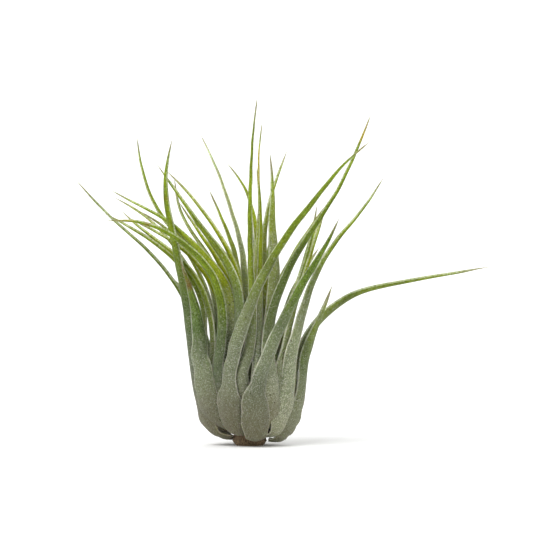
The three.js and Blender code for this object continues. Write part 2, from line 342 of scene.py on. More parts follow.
def read_run(name):
    """Stations along the leaf: middle of its margins, across, inner, width, channel depth and thickness."""
    rings, tip = read_rings(name)
    neck = rings[NECK_RING]
    left = max(range(MARGIN_STEP), key=lambda i: (neck[i] - neck[i + MARGIN_STEP]).length)
    right = left + MARGIN_STEP
    sides = [(left + 2) % RING_CORNERS, (right + 2) % RING_CORNERS]
    middle = (neck[left] + neck[right]) / 2
    back, floor = sorted(sides, key=lambda i: -(neck[i] - middle).length)
    if (neck[back] - middle).dot(neck[back] - neck[floor]) < 0:
        back, floor = floor, back
    upwards = centre_of(rings[NECK_RING + 1]) - centre_of(neck)
    hand = 1 if (neck[right] - neck[left]).dot(upwards.cross(neck[floor] - neck[back])) > 0 else -1
    stations = []
    for ring in rings:
        across = (ring[right] - ring[left]).normalized() * hand
        middle = (ring[left] + ring[right]) / 2
        inner = ring[floor] - ring[back]
        inner = (inner - across * inner.dot(across)).normalized()
        lift = [(ring[i] - middle).dot(inner) for i in (back, floor)]
        stations.append(
            {
                "middle": middle,
                "across": across,
                "inner": inner,
                "width": (ring[right] - ring[left]).length,
                "sag": -(lift[0] + lift[1]) / 2,
                "thick": lift[1] - lift[0],
            }
        )
    stations.append(dict(stations[-1], middle=tip, width=THREAD_WIDTH, sag=0.0, thick=THREAD_THICK))
    run = [0.0]
    for a, b in zip(stations, stations[1:]):
        run.append(run[-1] + (b["middle"] - a["middle"]).length)
    return {"stations": stations, "run": run, "length": run[-1]}


def glide(run, values, at):
    """A smooth curve through values at the distances run, read at one distance."""
    k = min(max(bisect.bisect_right(run, at) - 1, 0), len(run) - 2)
    span = run[k + 1] - run[k]
    t = (at - run[k]) / span

    def slope(i):
        low, high = max(i - 1, 0), min(i + 1, len(run) - 1)
        return (values[high] - values[low]) / (run[high] - run[low])

    t2, t3 = t * t, t * t * t
    return (
        values[k] * (2 * t3 - 3 * t2 + 1)
        + slope(k) * (span * (t3 - 2 * t2 + t))
        + values[k + 1] * (3 * t2 - 2 * t3)
        + slope(k + 1) * (span * (t3 - t2))
    )


def station_at(leaf, at):
    """The leaf's station at a distance from its root, with across and inner squared up to the run."""
    stations, run = leaf["stations"], leaf["run"]
    values = {key: glide(run, [s[key] for s in stations], at) for key in stations[0]}
    middles = [s["middle"] for s in stations]
    ahead = glide(run, middles, min(at + LOOK_ALONG, run[-1]))
    behind = glide(run, middles, max(at - LOOK_ALONG, 0))
    along = (ahead - behind).normalized()
    across = values["across"]
    across = (across - along * across.dot(along)).normalized()
    inner = values["inner"]
    inner = (inner - along * inner.dot(along) - across * inner.dot(across)).normalized()
    values.update(along=along, across=across, inner=inner)
    return values


# A leaf's skin, drawn on a flat map of the leaf in millimetres.
PALE_MARGIN = srgb(208, 208, 190)
ROSY_MARGIN = srgb(192, 182, 158)
SHEATH_TAN = srgb(112, 98, 66)
DRY_TIP = srgb(136, 128, 104)
SCAR = srgb(114, 80, 58)
GOLD_DRY = srgb(186, 162, 96)
PIN_SPECK = srgb(52, 46, 30)
BARE_SKIN = srgb(66, 76, 44)
SILVER = srgb(164, 167, 150)
# How fine the skin's patterns are, and how far some are drawn out along the leaf.
CLOUDS_PER_MM = 0.11
VEINS_PER_MM = 2.6
VEINS_DRAWN_OUT = 0.045
PATCHES_PER_MM = 0.55
STREAKS_PER_MM = 0.9
SHIELDS_PER_MM = 2.9
SHIELD_SLIMNESS = 1.2
PINS_PER_MM = 0.8
# The chance that a shield has rubbed off, and that a dark pin speck shows.
BARE_CHANCE = 0.26
PIN_CHANCE = 0.16
# How much one step of tone lightens and warms the skin, and the tone past which it warms no more. A leaf's
# tone is its random lightness together with painted light and shade.
TONE_STEP = 0.13
TONE_WARMTH = -0.010
WARMEST_TONE = 1.6


def leaf_material(name, low, mid, high, roughness):
    """low, mid and high are the skin's colours from sheath to tip under the scales."""
    material, tree, surface = shader(name, roughness)
    g = Graph(tree)
    surface.inputs["Subsurface Weight"].default_value = 0.22
    surface.inputs["Subsurface Radius"].default_value = (0.5, 1.0, 0.2)
    surface.inputs["Subsurface Scale"].default_value = 0.0011
    surface.inputs["Sheen Weight"].default_value = 0.08
    surface.inputs["Sheen Roughness"].default_value = 0.5
    surface.inputs["Specular IOR Level"].default_value = 0.22

    flat = g.add("ShaderNodeUVMap", uv_map="skin_mm").outputs[0]
    split = g.add("ShaderNodeSeparateXYZ")
    g.put(split.inputs[0], flat)
    across_mm, along_mm = split.outputs[0], split.outputs[1]
    climb, cover, tone_with_painted_light, foot = (g.leaf_value(key) for key in ("climb", "cover", "tone_with_painted_light", "foot"))
    from_edge, dry, scar, gold = (g.leaf_value(key) for key in ("from_edge", "dry", "scar", "gold"))

    # The skin under the scales, cloudy, and streaked along the leaf where it is bare.
    clouds = g.noise(flat, CLOUDS_PER_MM, 3.0)
    lengthwise = g.add("ShaderNodeCombineXYZ")
    g.put(lengthwise.inputs[0], g.times(across_mm, VEINS_PER_MM))
    g.put(lengthwise.inputs[1], g.times(along_mm, VEINS_DRAWN_OUT))
    veins = g.noise(lengthwise.outputs[0], 1.0, 2.0)
    skin = g.blend(g.ramp(climb, 0.10, 0.45), low, mid)
    skin = g.blend(g.ramp(climb, 0.42, 0.95), skin, high)
    streaked = g.times(g.ramp(veins, 0.3, 0.7, -1.0, 1.0), g.ramp(cover, 0.1, 0.5, 0.27, 0.14))
    # The tone, painted light and shade among it, also warms the hue a little.
    warmed = g.times(g.math("MINIMUM", tone_with_painted_light, WARMEST_TONE), TONE_WARMTH)
    tint = g.add("ShaderNodeHueSaturation")
    g.put(tint.inputs["Color"], skin)
    g.put(tint.inputs["Value"], g.plus(g.ramp(clouds, 0.3, 0.7, 0.80, 1.16), streaked))
    g.put(tint.inputs["Hue"], g.plus(warmed, 0.5))
    skin = g.blend(g.times(foot, 0.55), tint.outputs[0], SHEATH_TAN)

    # The scales: little shields in loose rows along the leaf, each its own grey, with dark skin in the gaps
    # between them and where one has rubbed off.
    rows = g.add("ShaderNodeCombineXYZ")
    g.put(rows.inputs[0], g.times(across_mm, SHIELD_SLIMNESS))
    g.put(rows.inputs[1], along_mm)
    shields = g.cells(rows.outputs[0], SHIELDS_PER_MM)
    from_middle = shields.outputs["Distance"]
    split = g.add("ShaderNodeSeparateColor")
    g.put(split.inputs[0], shields.outputs["Color"])
    presence, greyness, wear = split.outputs[0], split.outputs[1], split.outputs[2]
    patch = g.ramp(g.noise(flat, PATCHES_PER_MM, 2.0), 0.32, 0.68, -0.16, 0.16)
    crowd = g.ramp(cover, 0.0, 0.75, 0.12, 1.0)
    shown = g.ramp(g.math("SUBTRACT", g.plus(crowd, patch), presence), -0.04, 0.08)
    disc = g.ramp(from_middle, 0.68, 0.34)
    shield = g.times(g.times(shown, disc), g.ramp(greyness, 0.0, 1.0, 0.42, 1.0))
    gap = g.times(g.ramp(from_middle, 0.36, 0.66), g.times(cover, 0.62))
    rubbed = g.times(g.math("LESS_THAN", wear, BARE_CHANCE), g.ramp(cover, 0.15, 0.6, 0.0, 0.62))
    skin = g.blend(g.times(cover, 0.48), skin, SILVER)
    skin = g.blend(gap, skin, BARE_SKIN)
    skin = g.blend(g.times(shield, g.ramp(cover, 0.1, 0.55, 0.25, 0.5)), skin, SILVER)
    skin = g.blend(g.times(rubbed, disc), skin, BARE_SKIN)
    skin = g.blend(g.times(foot, 0.35), skin, SHEATH_TAN)

    # Dark pin specks, the pale margin, golden stretches, scars, and the dry end of the tip.
    pins = g.cells(flat, PINS_PER_MM)
    split = g.add("ShaderNodeSeparateColor")
    g.put(split.inputs[0], pins.outputs["Color"])
    chosen = g.math("LESS_THAN", split.outputs[0], PIN_CHANCE)
    pin = g.times(chosen, g.ramp(pins.outputs["Distance"], 0.26, 0.16))
    skin = g.blend(g.times(pin, g.ramp(climb, 0.35, 0.6, 0.7, 0.15)), skin, PIN_SPECK)
    rim_width = g.ramp(cover, 0.2, 0.8, 0.24, 0.36)
    rim = g.ramp(from_edge, 0.06, rim_width, g.ramp(cover, 0.2, 0.8, 0.55, 0.65), 0.0)
    rim = g.times(rim, g.ramp(clouds, 0.35, 0.65, 0.5, 1.0))
    skin = g.blend(rim, skin, g.blend(foot, PALE_MARGIN, ROSY_MARGIN))
    streaks = g.plus(veins, g.times(g.noise(flat, STREAKS_PER_MM, 3.0), 0.5))
    streaks = g.ramp(streaks, 0.55, 0.95, 0.45, 1.0)
    skin = g.blend(g.times(gold, streaks), skin, GOLD_DRY)
    skin = g.blend(g.times(scar, streaks), skin, SCAR)
    skin = g.blend(g.times(dry, 0.8), skin, DRY_TIP)

    # Each shield's own lightness, and the leaf's, whose tone also carries painted light and shade.
    dullest = g.ramp(cover, 0.15, 0.55, -0.56, -0.36)
    brightest = g.ramp(cover, 0.15, 0.55, 0.30, 0.12)
    frost = g.times(disc, g.ramp(greyness, 0.0, 1.0, dullest, brightest))
    lit = g.add("ShaderNodeHueSaturation")
    g.put(lit.inputs["Color"], skin)
    # Lightness from the tone, which holds painted light and shade, and from each shield's frost.
    g.put(lit.inputs["Value"], g.plus(g.plus(g.times(tone_with_painted_light, TONE_STEP), 1.02), frost))
    g.put(lit.inputs["Saturation"], g.math("SUBTRACT", g.ramp(cover, 0.05, 0.3, 1.2, 1.0), frost))
    g.put(surface.inputs["Base Color"], lit.outputs[0])
    g.put(surface.inputs["Roughness"], g.ramp(shield, 0.0, 1.0, roughness, min(1.0, roughness + 0.25)))

    raised = g.bump(shield, 0.7, 0.00010)
    g.put(surface.inputs["Normal"], g.bump(veins, 0.5, 0.00022, raised))
    return material


# Each skin's colours at the sheath, along the blade and near the tip, and its roughness.
SKIN_LOOKS = {
    "old_leaf": (srgb(68, 72, 40), srgb(76, 92, 24), srgb(114, 130, 32), 0.6),
    "leaf": (srgb(68, 78, 32), srgb(90, 106, 10), srgb(122, 138, 20), 0.55),
    "young_leaf": (srgb(80, 94, 28), srgb(108, 124, 2), srgb(132, 148, 12), 0.5),
}
skins = {slot: leaf_material(slot + "_skin", *look) for slot, look in SKIN_LOOKS.items()}
slot_of = {part["node"]: part["material_slot"] for part in frame["record"]["subparts"]}

# A leaf's shape: how finely it is grown, and how it narrows, dries and loses its scales from root to tip.
LEAF_SEED = 1000
ACROSS_STEPS = 11
STATION_GAP = 0.9 * MM
FEWEST_STATIONS = 24
# Across the leaf: its channel's curve, its margin's thickness beside its middle's, and where both sides meet.
CHANNEL_POWER = 2.1
MARGIN_SHARE = 0.22
AT_MARGIN = 0.999
# Along it, in shares of its length: where its own girth and turn have come in, and where its tip thins out.
ROOT_SHARE = 0.12
TIP_SHARE = 0.90
# The needle at the very tip, and how thin it ends beside a thread.
NEEDLE_LENGTH = 2.4 * MM
NEEDLE_END = 0.3
# Small waves in its run and its width, over lengths in millimetres.
SWAY = 0.10 * MM
SWAY_FROM = 0.2
SWAY_TO = 0.85
PLUMPNESS = 0.03
SHORT_WAVE = (7, 12)
LONG_WAVE = (15, 26)
# How much flatter the sheath is than its solid, up to a height.
SHEATH_FLATTENING = 0.15
SHEATH_END = 22 * MM
# The length over which small kinks are ironed out, and the heights over which that comes in.
IRONING = 7 * MM
IRONING_OF = {"leaf_14": 3 * MM}
IRON_FROM = 24 * MM
IRON_FULL = 38 * MM
# A leaf that is turned up to its tip, in degrees, and the shares of its length over which the turn comes in.
ROLL = {"leaf_29": 48}
ROLL_SHARES = (0.15, 0.4)
# The shortest and the longest dry tip, and the share of it that is dry right through.
DRY_LENGTH = (5 * MM, 11 * MM)
DRIEST = 0.3
# The scales' cover: what the sheath has on top of the blade's, the heights over which that runs out, and how
# much barer the youngest leaf is.
SHEATH_COVER = 0.83
BLADE_COVER = 0.05
SILVER_TO = 18 * MM
GREEN_FROM = 50 * MM
YOUNG_BARENESS = 0.35
# A light frost of scales, thickest at one height and gone at another.
FROST = 0.17
FROST_PEAK = 45 * MM
FROST_TO = 70 * MM
# The cover at the very root beside the usual, and the cover that the inside has on top.
ROOT_COVER = 0.6
ROOT_TO = 2 * MM
SCALY_FROM = 9 * MM
INSIDE_SHEATH_COVER = 0.28
INSIDE_COVER = 0.12
# The tan foot, whole up to one height and gone at another.
FOOT_TO = 3 * MM
FOOT_GONE = 24 * MM
# How far leaves differ in lightness at random, how much painted light lightens the innermost low down, where
# they sit in the shade of the crown, and the heights in millimetres over which that goes.
TONE_SPREAD = 0.8
INNER_PAINTED_LIGHT = 2.6
INNER_LIGHT_BELOW = 48
INNER_LIGHT_GONE = 76
# How far a leaf's skin may be shifted on its flat map, in millimetres, so that no two look alike.
SKIN_SHIFT = 400

# What sets single leaves apart, in rows of a height in millimetres and the value there. GIRTH is a leaf's
# width beside its solid's. TURN is how far it turns about its own run, in degrees. LEAN and LIFT are how far
# it moves to the right and up, in millimetres. The tone table is how light a leaf is, mostly as painted light
# and shade: lighter where the leaf lies in shade among other leaves, darker where shade falls on it. COVER is
# how scaly it is beside the usual. FOOT has one value for a leaf: how tan its foot is beside the usual.
STILL = ((0, 0.0),)
USUAL_GIRTH = ((11, 1.09), (22, 1.0))
INNER_GIRTH = ((11, 1.09), (22, 1.0), (32, 1.22), (50, 1.22), (64, 1.0))
INNER_RANK = 30
GIRTH = {
    "leaf_01": ((11, 1.25), (20, 1.3), (30, 1.25), (40, 1.05), (46, 0.95)),
    "leaf_03": ((5, 0.95), (10, 1.0), (15, 1.2), (20, 0.93), (26, 0.9), (34, 0.95), (50, 1.0), (64, 1.0)),
    "leaf_05": ((11, 1.09), (22, 1.0), (40, 1.12), (58, 1.28), (68, 1.4), (77, 1.3), (86, 1.1)),
    "leaf_06": ((11, 1.09), (18, 1.05), (26, 1.0), (36, 0.82), (50, 0.78), (62, 0.7)),
    "leaf_08": ((10, 1.0), (15, 1.25), (20, 0.98), (26, 0.98), (32, 1.12), (44, 0.92), (60, 0.88), (75, 0.86)),
    "leaf_10": ((11, 1.3), (22, 1.1), (40, 0.8), (60, 0.72)),
    "leaf_11": ((11, 1.15), (20, 1.2), (26, 1.15), (34, 1.02), (50, 0.9), (75, 0.7), (84, 0.8), (90, 1.0)),
    "leaf_13": ((10, 1.0), (15, 1.05), (20, 1.07), (26, 1.12), (32, 1.12), (45, 1.02), (52, 0.9)),
    "leaf_14": ((11, 1.1), (38, 1.1), (45, 0.95), (50, 1.05)),
    "leaf_16": ((11, 1.25), (22, 1.1), (42, 0.8), (70, 0.75)),
    "leaf_19": ((11, 1.09), (20, 1.0), (32, 0.75)),
    "leaf_24": ((40, 1.1), (60, 0.9), (76, 0.66), (84, 0.66), (94, 0.9)),
    "leaf_26": ((30, 1.0), (50, 1.35), (66, 1.35), (72, 1.1)),
    "leaf_29": ((11, 1.09), (22, 1.1), (42, 1.6), (58, 1.6), (66, 1.3), (74, 1.0)),
    "leaf_32": ((11, 1.09), (22, 1.0), (38, 1.4), (58, 1.8), (72, 1.5), (82, 1.0)),
    "leaf_33": ((11, 1.09), (22, 1.0), (32, 1.3), (62, 1.3), (72, 1.0)),
    "leaf_34": ((11, 1.09), (22, 1.1), (34, 1.25), (48, 1.15), (56, 1.0), (66, 0.75)),
    "leaf_40": ((11, 1.09), (22, 1.0), (32, 1.2), (66, 1.25), (80, 1.0)),
}
TURN = {
    "leaf_01": ((3, 38), (8, 34), (16, 14), (30, 6), (42, 0)),
    "leaf_05": ((2, -34), (7, -28), (14, 0)),
    "leaf_06": ((6, 0), (14, 22), (24, 34), (34, 26), (48, 0)),
    "leaf_10": ((22, 0), (38, -45)),
    "leaf_13": ((4, 0), (12, -22), (20, -38), (34, -34), (48, 0)),
    "leaf_18": ((32, 0), (48, -35)),
    "leaf_23": ((32, 0), (48, -30)),
    "leaf_31": ((32, 0), (48, -30)),
    "leaf_39": ((32, 0), (48, -30)),
}
LEAN = {
    "leaf_01": ((1, -1.0), (3, -1.8), (6, -1.8), (9, -1.0), (14, 0.0)),
    "leaf_03": ((4, -0.5), (10, -1.0), (15, -1.3), (20, 0.0), (26, 0.3), (32, 0.3), (40, 0.0)),
    "leaf_05": ((36, 0.0), (46, -0.5), (60, -0.4), (70, 0.0)),
    "leaf_06": ((2, 0.0), (5, -0.9), (10, -1.4), (15, -1.0), (20, -0.85), (26, -0.7), (32, -0.4), (40, 0.0)),
    "leaf_08": ((10, 0.0), (15, 0.2), (20, 0.9), (26, 0.4), (32, -0.6), (44, -0.2), (52, 0.0)),
    "leaf_11": ((20, 0.0), (28, 0.5), (35, 0.5), (48, 0.0)),
    "leaf_13": ((3, -0.4), (10, -1.0), (15, -1.2), (20, -1.3), (26, -0.6), (32, 0.2), (45, 0.2), (52, 0.0)),
}
LIFT = {"leaf_01": ((1.5, 0.9), (4, 0.7), (9, 0.0))}
# Painted light and shade, leaf by leaf: lightness raised where a leaf lies in shade among the others, and
# lowered where shade falls on it.
TONE_WITH_PAINTED_LIGHT = {
    "leaf_01": ((6, 1.6), (14, 1.0), (26, -0.4), (40, 0.0)),
    "leaf_03": ((12, -1.2), (18, -1.6), (25, 0.2), (28, 0.3), (40, -1.2), (50, -2.2)),
    "leaf_04": ((10, 1.5), (22, 5.5), (34, 4.6), (45, 0.5)),
    "leaf_05": ((30, -1.6), (40, -1.2), (50, 0.0), (58, 0.0), (66, 0.3), (74, -0.4)),
    "leaf_06": ((12, 4.2), (20, 4.0), (34, 2.8), (46, 0.4), (60, 0.0)),
    "leaf_08": ((12, -1.6), (20, 0.2), (32, 0.9), (41, 1.5), (48, 1.3), (59, 0.7), (70, -0.4)),
    "leaf_11": ((12, 0.4), (19, 3.0), (26, 2.0), (33, -0.2), (45, -0.2), (60, -0.4)),
    "leaf_13": ((10, -1.8), (20, 0.5), (25, 1.0), (31, -1.2), (36, -2.8), (45, -1.8)),
    "leaf_14": ((8, 0.5), (22, 3.6), (36, 3.6), (46, 0.6)),
    "leaf_16": ((30, 0.6), (50, 1.0), (62, 0.4), (74, -0.3)),
    "leaf_21": ((10, -2.2), (30, -2.4), (42, -0.6), (50, -0.2), (58, -0.8)),
    "leaf_23": ((48, 0.2), (60, 1.4)),
    "leaf_24": ((36, 5.5), (46, 4.5), (58, 2.2), (68, 0.6)),
    "leaf_26": ((50, 0.6), (62, 0.8)),
    "leaf_27": ((40, 0.4), (54, -0.8)),
    "leaf_29": ((44, -0.9), (54, 0.6), (70, -0.4)),
    "leaf_30": ((20, 4.5), (34, 3.5), (46, 1.2)),
    "leaf_32": ((30, 1.6), (44, 2.8), (58, 1.8), (70, 0.4), (84, 0.0)),
    "leaf_33": ((30, 0.6), (44, 2.0), (70, 0.8)),
    "leaf_34": ((34, 4.6), (44, 2.6), (50, 1.6), (60, 0.4), (68, -0.6)),
    "leaf_37": ((30, 0.6), (44, 2.0), (70, 0.8)),
    "leaf_40": ((30, 0.8), (44, 2.6), (58, 2.4), (70, 0.6)),
    "leaf_47": ((46, 2.2), (58, 2.6), (70, 1.0)),
    "leaf_49": ((36, 2.4), (46, 5.5), (62, 5.0), (74, 3.0)),
}
FOOT = {"leaf_01": 0.3, "leaf_03": 0.8, "leaf_06": 0.4}
USUAL_COVER = ((0, 1.0),)
# Most of this is how scaly a leaf is. The raised cover of leaf_06 and leaf_49 is partly painted light as well:
# it pales them where they lie in shade.
COVER = {
    "leaf_01": ((6, 0.8), (16, 0.7), (25, 0.4), (34, 0.5), (44, 0.9)),
    "leaf_03": ((30, 1.0), (42, 0.75)),
    "leaf_05": ((25, 1.0), (37, 0.65), (50, 0.9)),
    "leaf_06": ((0, 1.3),),
    "leaf_10": ((0, 0.25),),
    "leaf_11": ((24, 1.0), (34, 0.6), (46, 0.9)),
    "leaf_13": ((25, 1.0), (36, 0.6)),
    "leaf_14": ((0, 0.6),),
    "leaf_18": ((0, 0.7),),
    "leaf_21": ((34, 0.7), (50, 0.35)),
    "leaf_23": ((0, 0.7),),
    "leaf_24": ((40, 1.9), (52, 1.0)),
    "leaf_26": ((0, 0.6),),
    "leaf_27": ((0, 0.6),),
    "leaf_29": ((0, 1.3),),
    "leaf_31": ((0, 0.7),),
    "leaf_32": ((34, 1.0), (50, 2.2), (62, 6.0)),
    "leaf_33": ((34, 1.0), (50, 2.2), (62, 6.0)),
    "leaf_34": ((34, 2.6), (44, 1.6), (50, 0.8)),
    "leaf_37": ((34, 1.0), (50, 2.2), (62, 6.0)),
    "leaf_39": ((0, 0.7),),
    "leaf_40": ((34, 1.0), (50, 1.8), (62, 5.0)),
    "leaf_49": ((34, 1.6), (50, 2.2), (62, 5.0)),
}

# Brown scars and golden dry stretches: the x and z of each one's middle, its reach in millimetres, its depth.
SCARS = {
    "leaf_05": ((-25.2, 74.5, 0.7, 0.7),),
    "leaf_13": (
        (-20.6, 55.0, 1.3, 0.9),
        (-20.0, 53.2, 1.2, 0.85),
        (-19.5, 51.5, 1.2, 0.8),
        (-18.9, 49.9, 1.1, 0.8),
        (-18.3, 48.2, 1.5, 1.0),
    ),
    "leaf_21": ((-30.3, 67.0, 1.0, 0.7),),
}
GOLD = {
    "leaf_08": ((34.0, 90.3, 3.5, 0.7),),
    "leaf_11": ((35.0, 96.0, 6.5, 0.9),),
    "leaf_21": ((-38.0, 67.8, 5.0, 0.4),),
    "leaf_24": ((2.9, 84.0, 7.0, 0.75),),
}


def read_off(table, height):
    """The value that a table of (height in millimetres, value) gives at a height, eased between its rows."""
    if height <= table[0][0] * MM:
        return table[0][1]
    for (low, start), (high, end) in zip(table, table[1:]):
        if height <= high * MM:
            return start + (end - start) * ease(low * MM, high * MM, height)
    return table[-1][1]


def nearness(spots, point):
    """How strongly the nearest of some spots marks a point: its depth in the middle, 0 past its reach."""
    strength = 0.0
    for x, z, reach, depth in spots:
        away = math.hypot(point.x / MM - x, point.z / MM - z)
        strength = max(strength, depth * (1 - ease(0.5 * reach, reach, away)))
    return strength


def leaf_section(name, rank, leaf, at):
    """The station at a distance from the root, with the leaf's own girth, lean, turn and thread-thin tip."""
    station = station_at(leaf, at)
    climb = at / leaf["length"]
    height = station["middle"].z
    fine = ease(TIP_SHARE, 1.0, climb)
    rooted = ease(0.0, ROOT_SHARE, climb)
    usual_girth = INNER_GIRTH if rank > INNER_RANK else USUAL_GIRTH
    girth = 1 + (read_off(GIRTH.get(name, usual_girth), height) - 1) * rooted
    flatter = 1 - SHEATH_FLATTENING * rooted * (1 - ease(0.5 * SHEATH_END, SHEATH_END, height))
    station["width"] = station["width"] * girth * (1 - fine) + THREAD_WIDTH * fine
    station["thick"] = station["thick"] * (1 - fine) + THREAD_THICK * fine
    station["sag"] = station["sag"] * girth * flatter * (1 - fine)
    roll = math.radians(ROLL.get(name, 0)) * ease(*ROLL_SHARES, climb)
    roll += math.radians(read_off(TURN.get(name, STILL), height)) * rooted
    across, inner = station["across"], station["inner"]
    station["across"] = across * math.cos(roll) + inner * math.sin(roll)
    station["inner"] = inner * math.cos(roll) - across * math.sin(roll)
    moved = Vector((read_off(LEAN.get(name, STILL), height), 0, read_off(LIFT.get(name, STILL), height)))
    station["middle"] = station["middle"] + moved * (MM * rooted)
    return station


def ironed(values, step, reach):
    """Small wobbles taken out of evenly spaced values, with their ends held and their long curves kept."""

    def soften(row):
        for _ in range(round(2 * (reach / step) ** 2)):
            row = numpy.vstack([row[:1], 0.25 * row[:-2] + 0.5 * row[1:-1] + 0.25 * row[2:], row[-1:]])
        return row

    once = soften(numpy.array(values))
    return 2 * once - soften(once)


def iron_blade(name, rows, step):
    """The same rows with the blade's run and width ironed above the sheath, and squared up to the new run."""
    reach = IRONING_OF.get(name, IRONING)
    calm = ironed([[*s["middle"], s["width"]] for s in rows], step, reach)
    for s, (x, y, z, width) in zip(rows, calm.tolist()):
        share = ease(IRON_FROM, IRON_FULL, s["middle"].z)
        s["middle"] = s["middle"].lerp(Vector((x, y, z)), share)
        s["width"] += (width - s["width"]) * share
    for k, s in enumerate(rows):
        s["along"] = (rows[min(k + 1, len(rows) - 1)]["middle"] - rows[max(k - 1, 0)]["middle"]).normalized()
        s["across"] = (s["across"] - s["along"] * s["across"].dot(s["along"])).normalized()
        s["inner"] = (s["inner"] - s["along"] * s["inner"].dot(s["along"])).normalized()
        s["inner"] = (s["inner"] - s["across"] * s["inner"].dot(s["across"])).normalized()
    return rows


def unevenness(dice):
    """A slow random swing along a leaf, between about -1 and 1, with at in metres."""
    waves = [(dice.uniform(*length), dice.uniform(0, FULL_TURN)) for length in (SHORT_WAVE, LONG_WAVE)]
    return lambda at: sum(math.sin(2 * math.pi * at / (length * MM) + start) for length, start in waves) / 2


def channel_at(s, a):
    """How high a station's channel stands over the line of its margins, a share a of the way to a margin."""
    return -s["sag"] * (1 - abs(a) ** CHANNEL_POWER)


def thickness_at(s, a):
    return s["thick"] * (MARGIN_SHARE + (1 - MARGIN_SHARE) * math.sqrt(max(0, 1 - a * a)))


# The corners round one station, as side (0 the back, 1 the inside) and share of the way to a margin.
SHARES = [math.sin(math.pi / 2 * (2 * i / (ACROSS_STEPS - 1) - 1)) for i in range(ACROSS_STEPS)]
ROUND = [(0, a) for a in SHARES] + [(1, a) for a in reversed(SHARES[1:-1])]
# The first corner met again from the inside, where the skin's flat map ends.
SEAM = (1, -1.0)


def turned_inside_out(points, faces):
    """Whether four-cornered faces look inwards, told by the sign of the volume that they enclose."""
    volume = 0.0
    for face in faces:
        a, b, c, d = (points[i] - points[0] for i in face)
        volume += a.dot(b.cross(c)) + a.dot(c.cross(d))
    return volume < 0


def grow_leaf(name, leaf, rank, dice):
    """The finer leaf: corners, faces, the faces laid flat, what the skin shows at a corner, and stations."""
    count = max(FEWEST_STATIONS, round(leaf["length"] / STATION_GAP))
    points, notes, girth = [], [], []
    sway, plumpness = unevenness(dice), unevenness(dice)
    step = leaf["length"] / count
    rows = iron_blade(name, [leaf_section(name, rank, leaf, step * k) for k in range(count + 1)], step)
    dry_length = dice.uniform(*DRY_LENGTH)
    usual_tone = dice.uniform(-TONE_SPREAD, TONE_SPREAD)
    # Each leaf's random lightness, plus painted light on the inner leaves low down in the crown's shade.
    usual_tones = ((INNER_LIGHT_BELOW, usual_tone + INNER_PAINTED_LIGHT * rank / ranks), (INNER_LIGHT_GONE, usual_tone))
    for k, s in enumerate(rows):
        climb = k / count
        at = step * k
        calm = ease(0.0, SWAY_FROM, climb) * (1 - ease(SWAY_TO, 1.0, climb))
        s["middle"] = s["middle"] + s["across"] * (SWAY * calm * sway(at))
        needle = NEEDLE_END + (1 - NEEDLE_END) * ease(0.0, NEEDLE_LENGTH, leaf["length"] - at)
        s["width"] *= needle * (1 + PLUMPNESS * calm * plumpness(at))
        s["thick"] *= needle
        half = s["width"] / 2
        dry = ease(1 - dry_length / leaf["length"], 1 - DRIEST * dry_length / leaf["length"], climb)
        scar = nearness(SCARS.get(name, ()), s["middle"])
        gold = nearness(GOLD.get(name, ()), s["middle"])
        # The leaf's tone: painted light and shade from its own row in the table, or else its random lightness
        # with the inner leaves' painted light.
        tone_with_painted_light = read_off(TONE_WITH_PAINTED_LIGHT.get(name, usual_tones), s["middle"].z)
        scaly = read_off(COVER.get(name, USUAL_COVER), s["middle"].z)
        for side, a in ROUND:
            plump = thickness_at(s, a)
            lift = channel_at(s, a)
            if abs(a) < AT_MARGIN:
                lift += plump / 2 if side else -plump / 2
            point = s["middle"] + s["across"] * (a * half) + s["inner"] * lift
            points.append(point)
            high = 1 - ease(SILVER_TO, GREEN_FROM, point.z)
            frosted = ease(SILVER_TO, FROST_PEAK, point.z) * (1 - ease(FROST_PEAK, FROST_TO, point.z))
            scales_here = BLADE_COVER + SHEATH_COVER * high + FROST * frosted
            scales_here *= 1 - YOUNG_BARENESS * rank / ranks
            scales_here *= ROOT_COVER + (1 - ROOT_COVER) * ease(ROOT_TO, SCALY_FROM, point.z)
            scales_here += (INSIDE_COVER + INSIDE_SHEATH_COVER * high) * side
            notes.append(
                {
                    "climb": climb,
                    "cover": scales_here * scaly,
                    "tone_with_painted_light": tone_with_painted_light,
                    "from_edge": half * (1 - abs(a)) / MM,
                    "dry": dry,
                    "scar": scar,
                    "gold": gold,
                    "foot": FOOT.get(name, 1.0) * (1 - ease(FOOT_TO, FOOT_GONE, point.z)),
                }
            )
        way_round = [half * (1 + a if side == 0 else 3 - a) / MM for side, a in ROUND + [SEAM]]
        girth.append([(way, at / MM) for way in way_round])
    faces, skin = [], []
    ring = len(ROUND)
    for k in range(count):
        for i in range(ring):
            j = (i + 1) % ring
            faces.append((k * ring + i, (k + 1) * ring + i, (k + 1) * ring + j, k * ring + j))
            skin.append((girth[k][i], girth[k + 1][i], girth[k + 1][i + 1], girth[k][i + 1]))
    # One face closes the root and another the tip.
    for k, turn in ((0, 1), (count, -1)):
        faces.append(tuple(k * ring + i for i in range(ring))[::turn])
        skin.append(tuple(girth[k][i] for i in range(ring))[::turn])
    if turned_inside_out(points, faces[:-2]):
        faces = [face[::-1] for face in faces]
        skin = [face[::-1] for face in skin]
    return points, faces, skin, notes, rows


